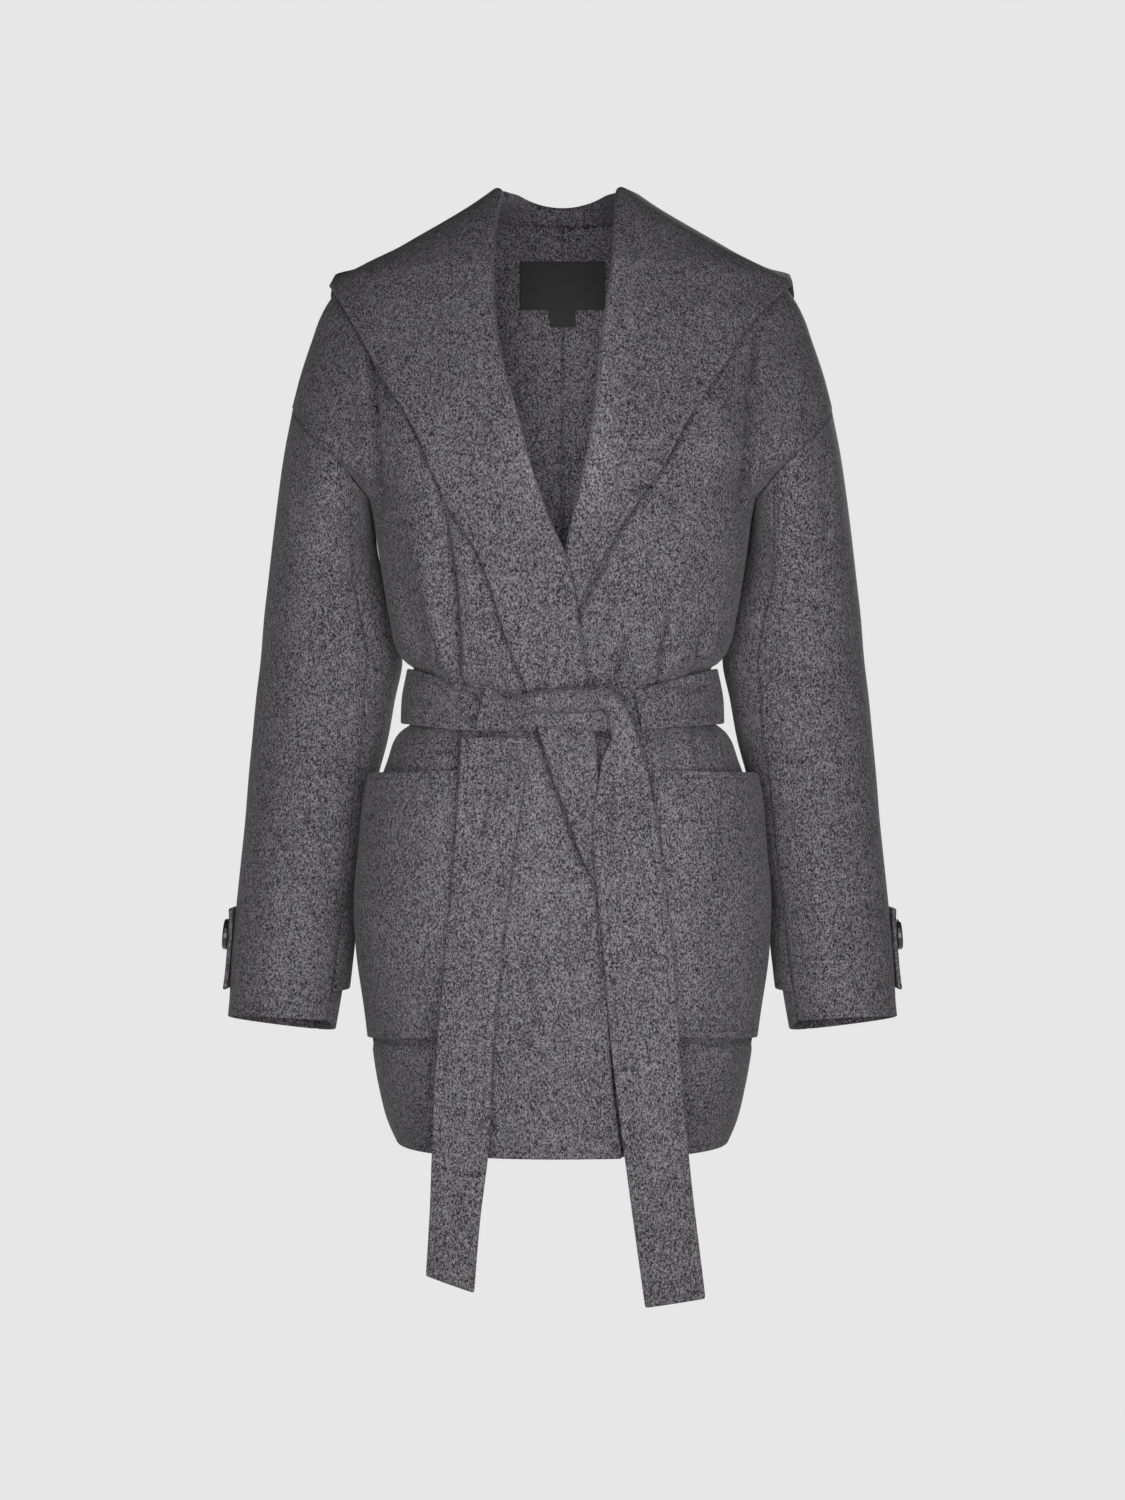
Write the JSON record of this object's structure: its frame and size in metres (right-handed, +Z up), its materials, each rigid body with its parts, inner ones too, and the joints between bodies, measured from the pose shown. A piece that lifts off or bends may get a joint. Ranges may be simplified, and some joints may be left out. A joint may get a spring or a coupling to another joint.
{
  "type": "wrap coat",
  "caption": "Hip-length wool wrap coat in its worn shape: wide pointed shawl collar, dropped sleeves with buttoned cuff straps, patch pockets and a knotted belt with hanging tails.",
  "frame": {"origin": "on the centre line, level with the seam that joins the collar to the back neck, in the middle of the neck opening", "axes": "+Z up along the coat, +X towards the wearer's left, -Y out of the front"},
  "size_m": [0.578, 0.2777, 0.9228],
  "materials": {
    "wool": "matt heather wool, brushed",
    "button": "polished dark resin",
    "neck label": "black satin weave",
    "size label": "black satin weave"
  },
  "bodies": {
    "root": {"back_left": "wool", "back_right": "wool", "belt_band": "wool", "belt_knot": "wool", "belt_tail_left": "wool", "belt_tail_right": "wool", "collar": "wool", "cuff_button_left": "button", "cuff_button_right": "button", "cuff_strap_left": "wool", "cuff_strap_right": "wool", "front_left": "wool", "front_right": "wool", "neck_label": "neck label", "pocket_left": "wool", "pocket_right": "wool", "size_label": "size label", "sleeve_top_left": "wool", "sleeve_top_right": "wool", "sleeve_under_left": "wool", "sleeve_under_right": "wool"}
  },
  "joints": []
}
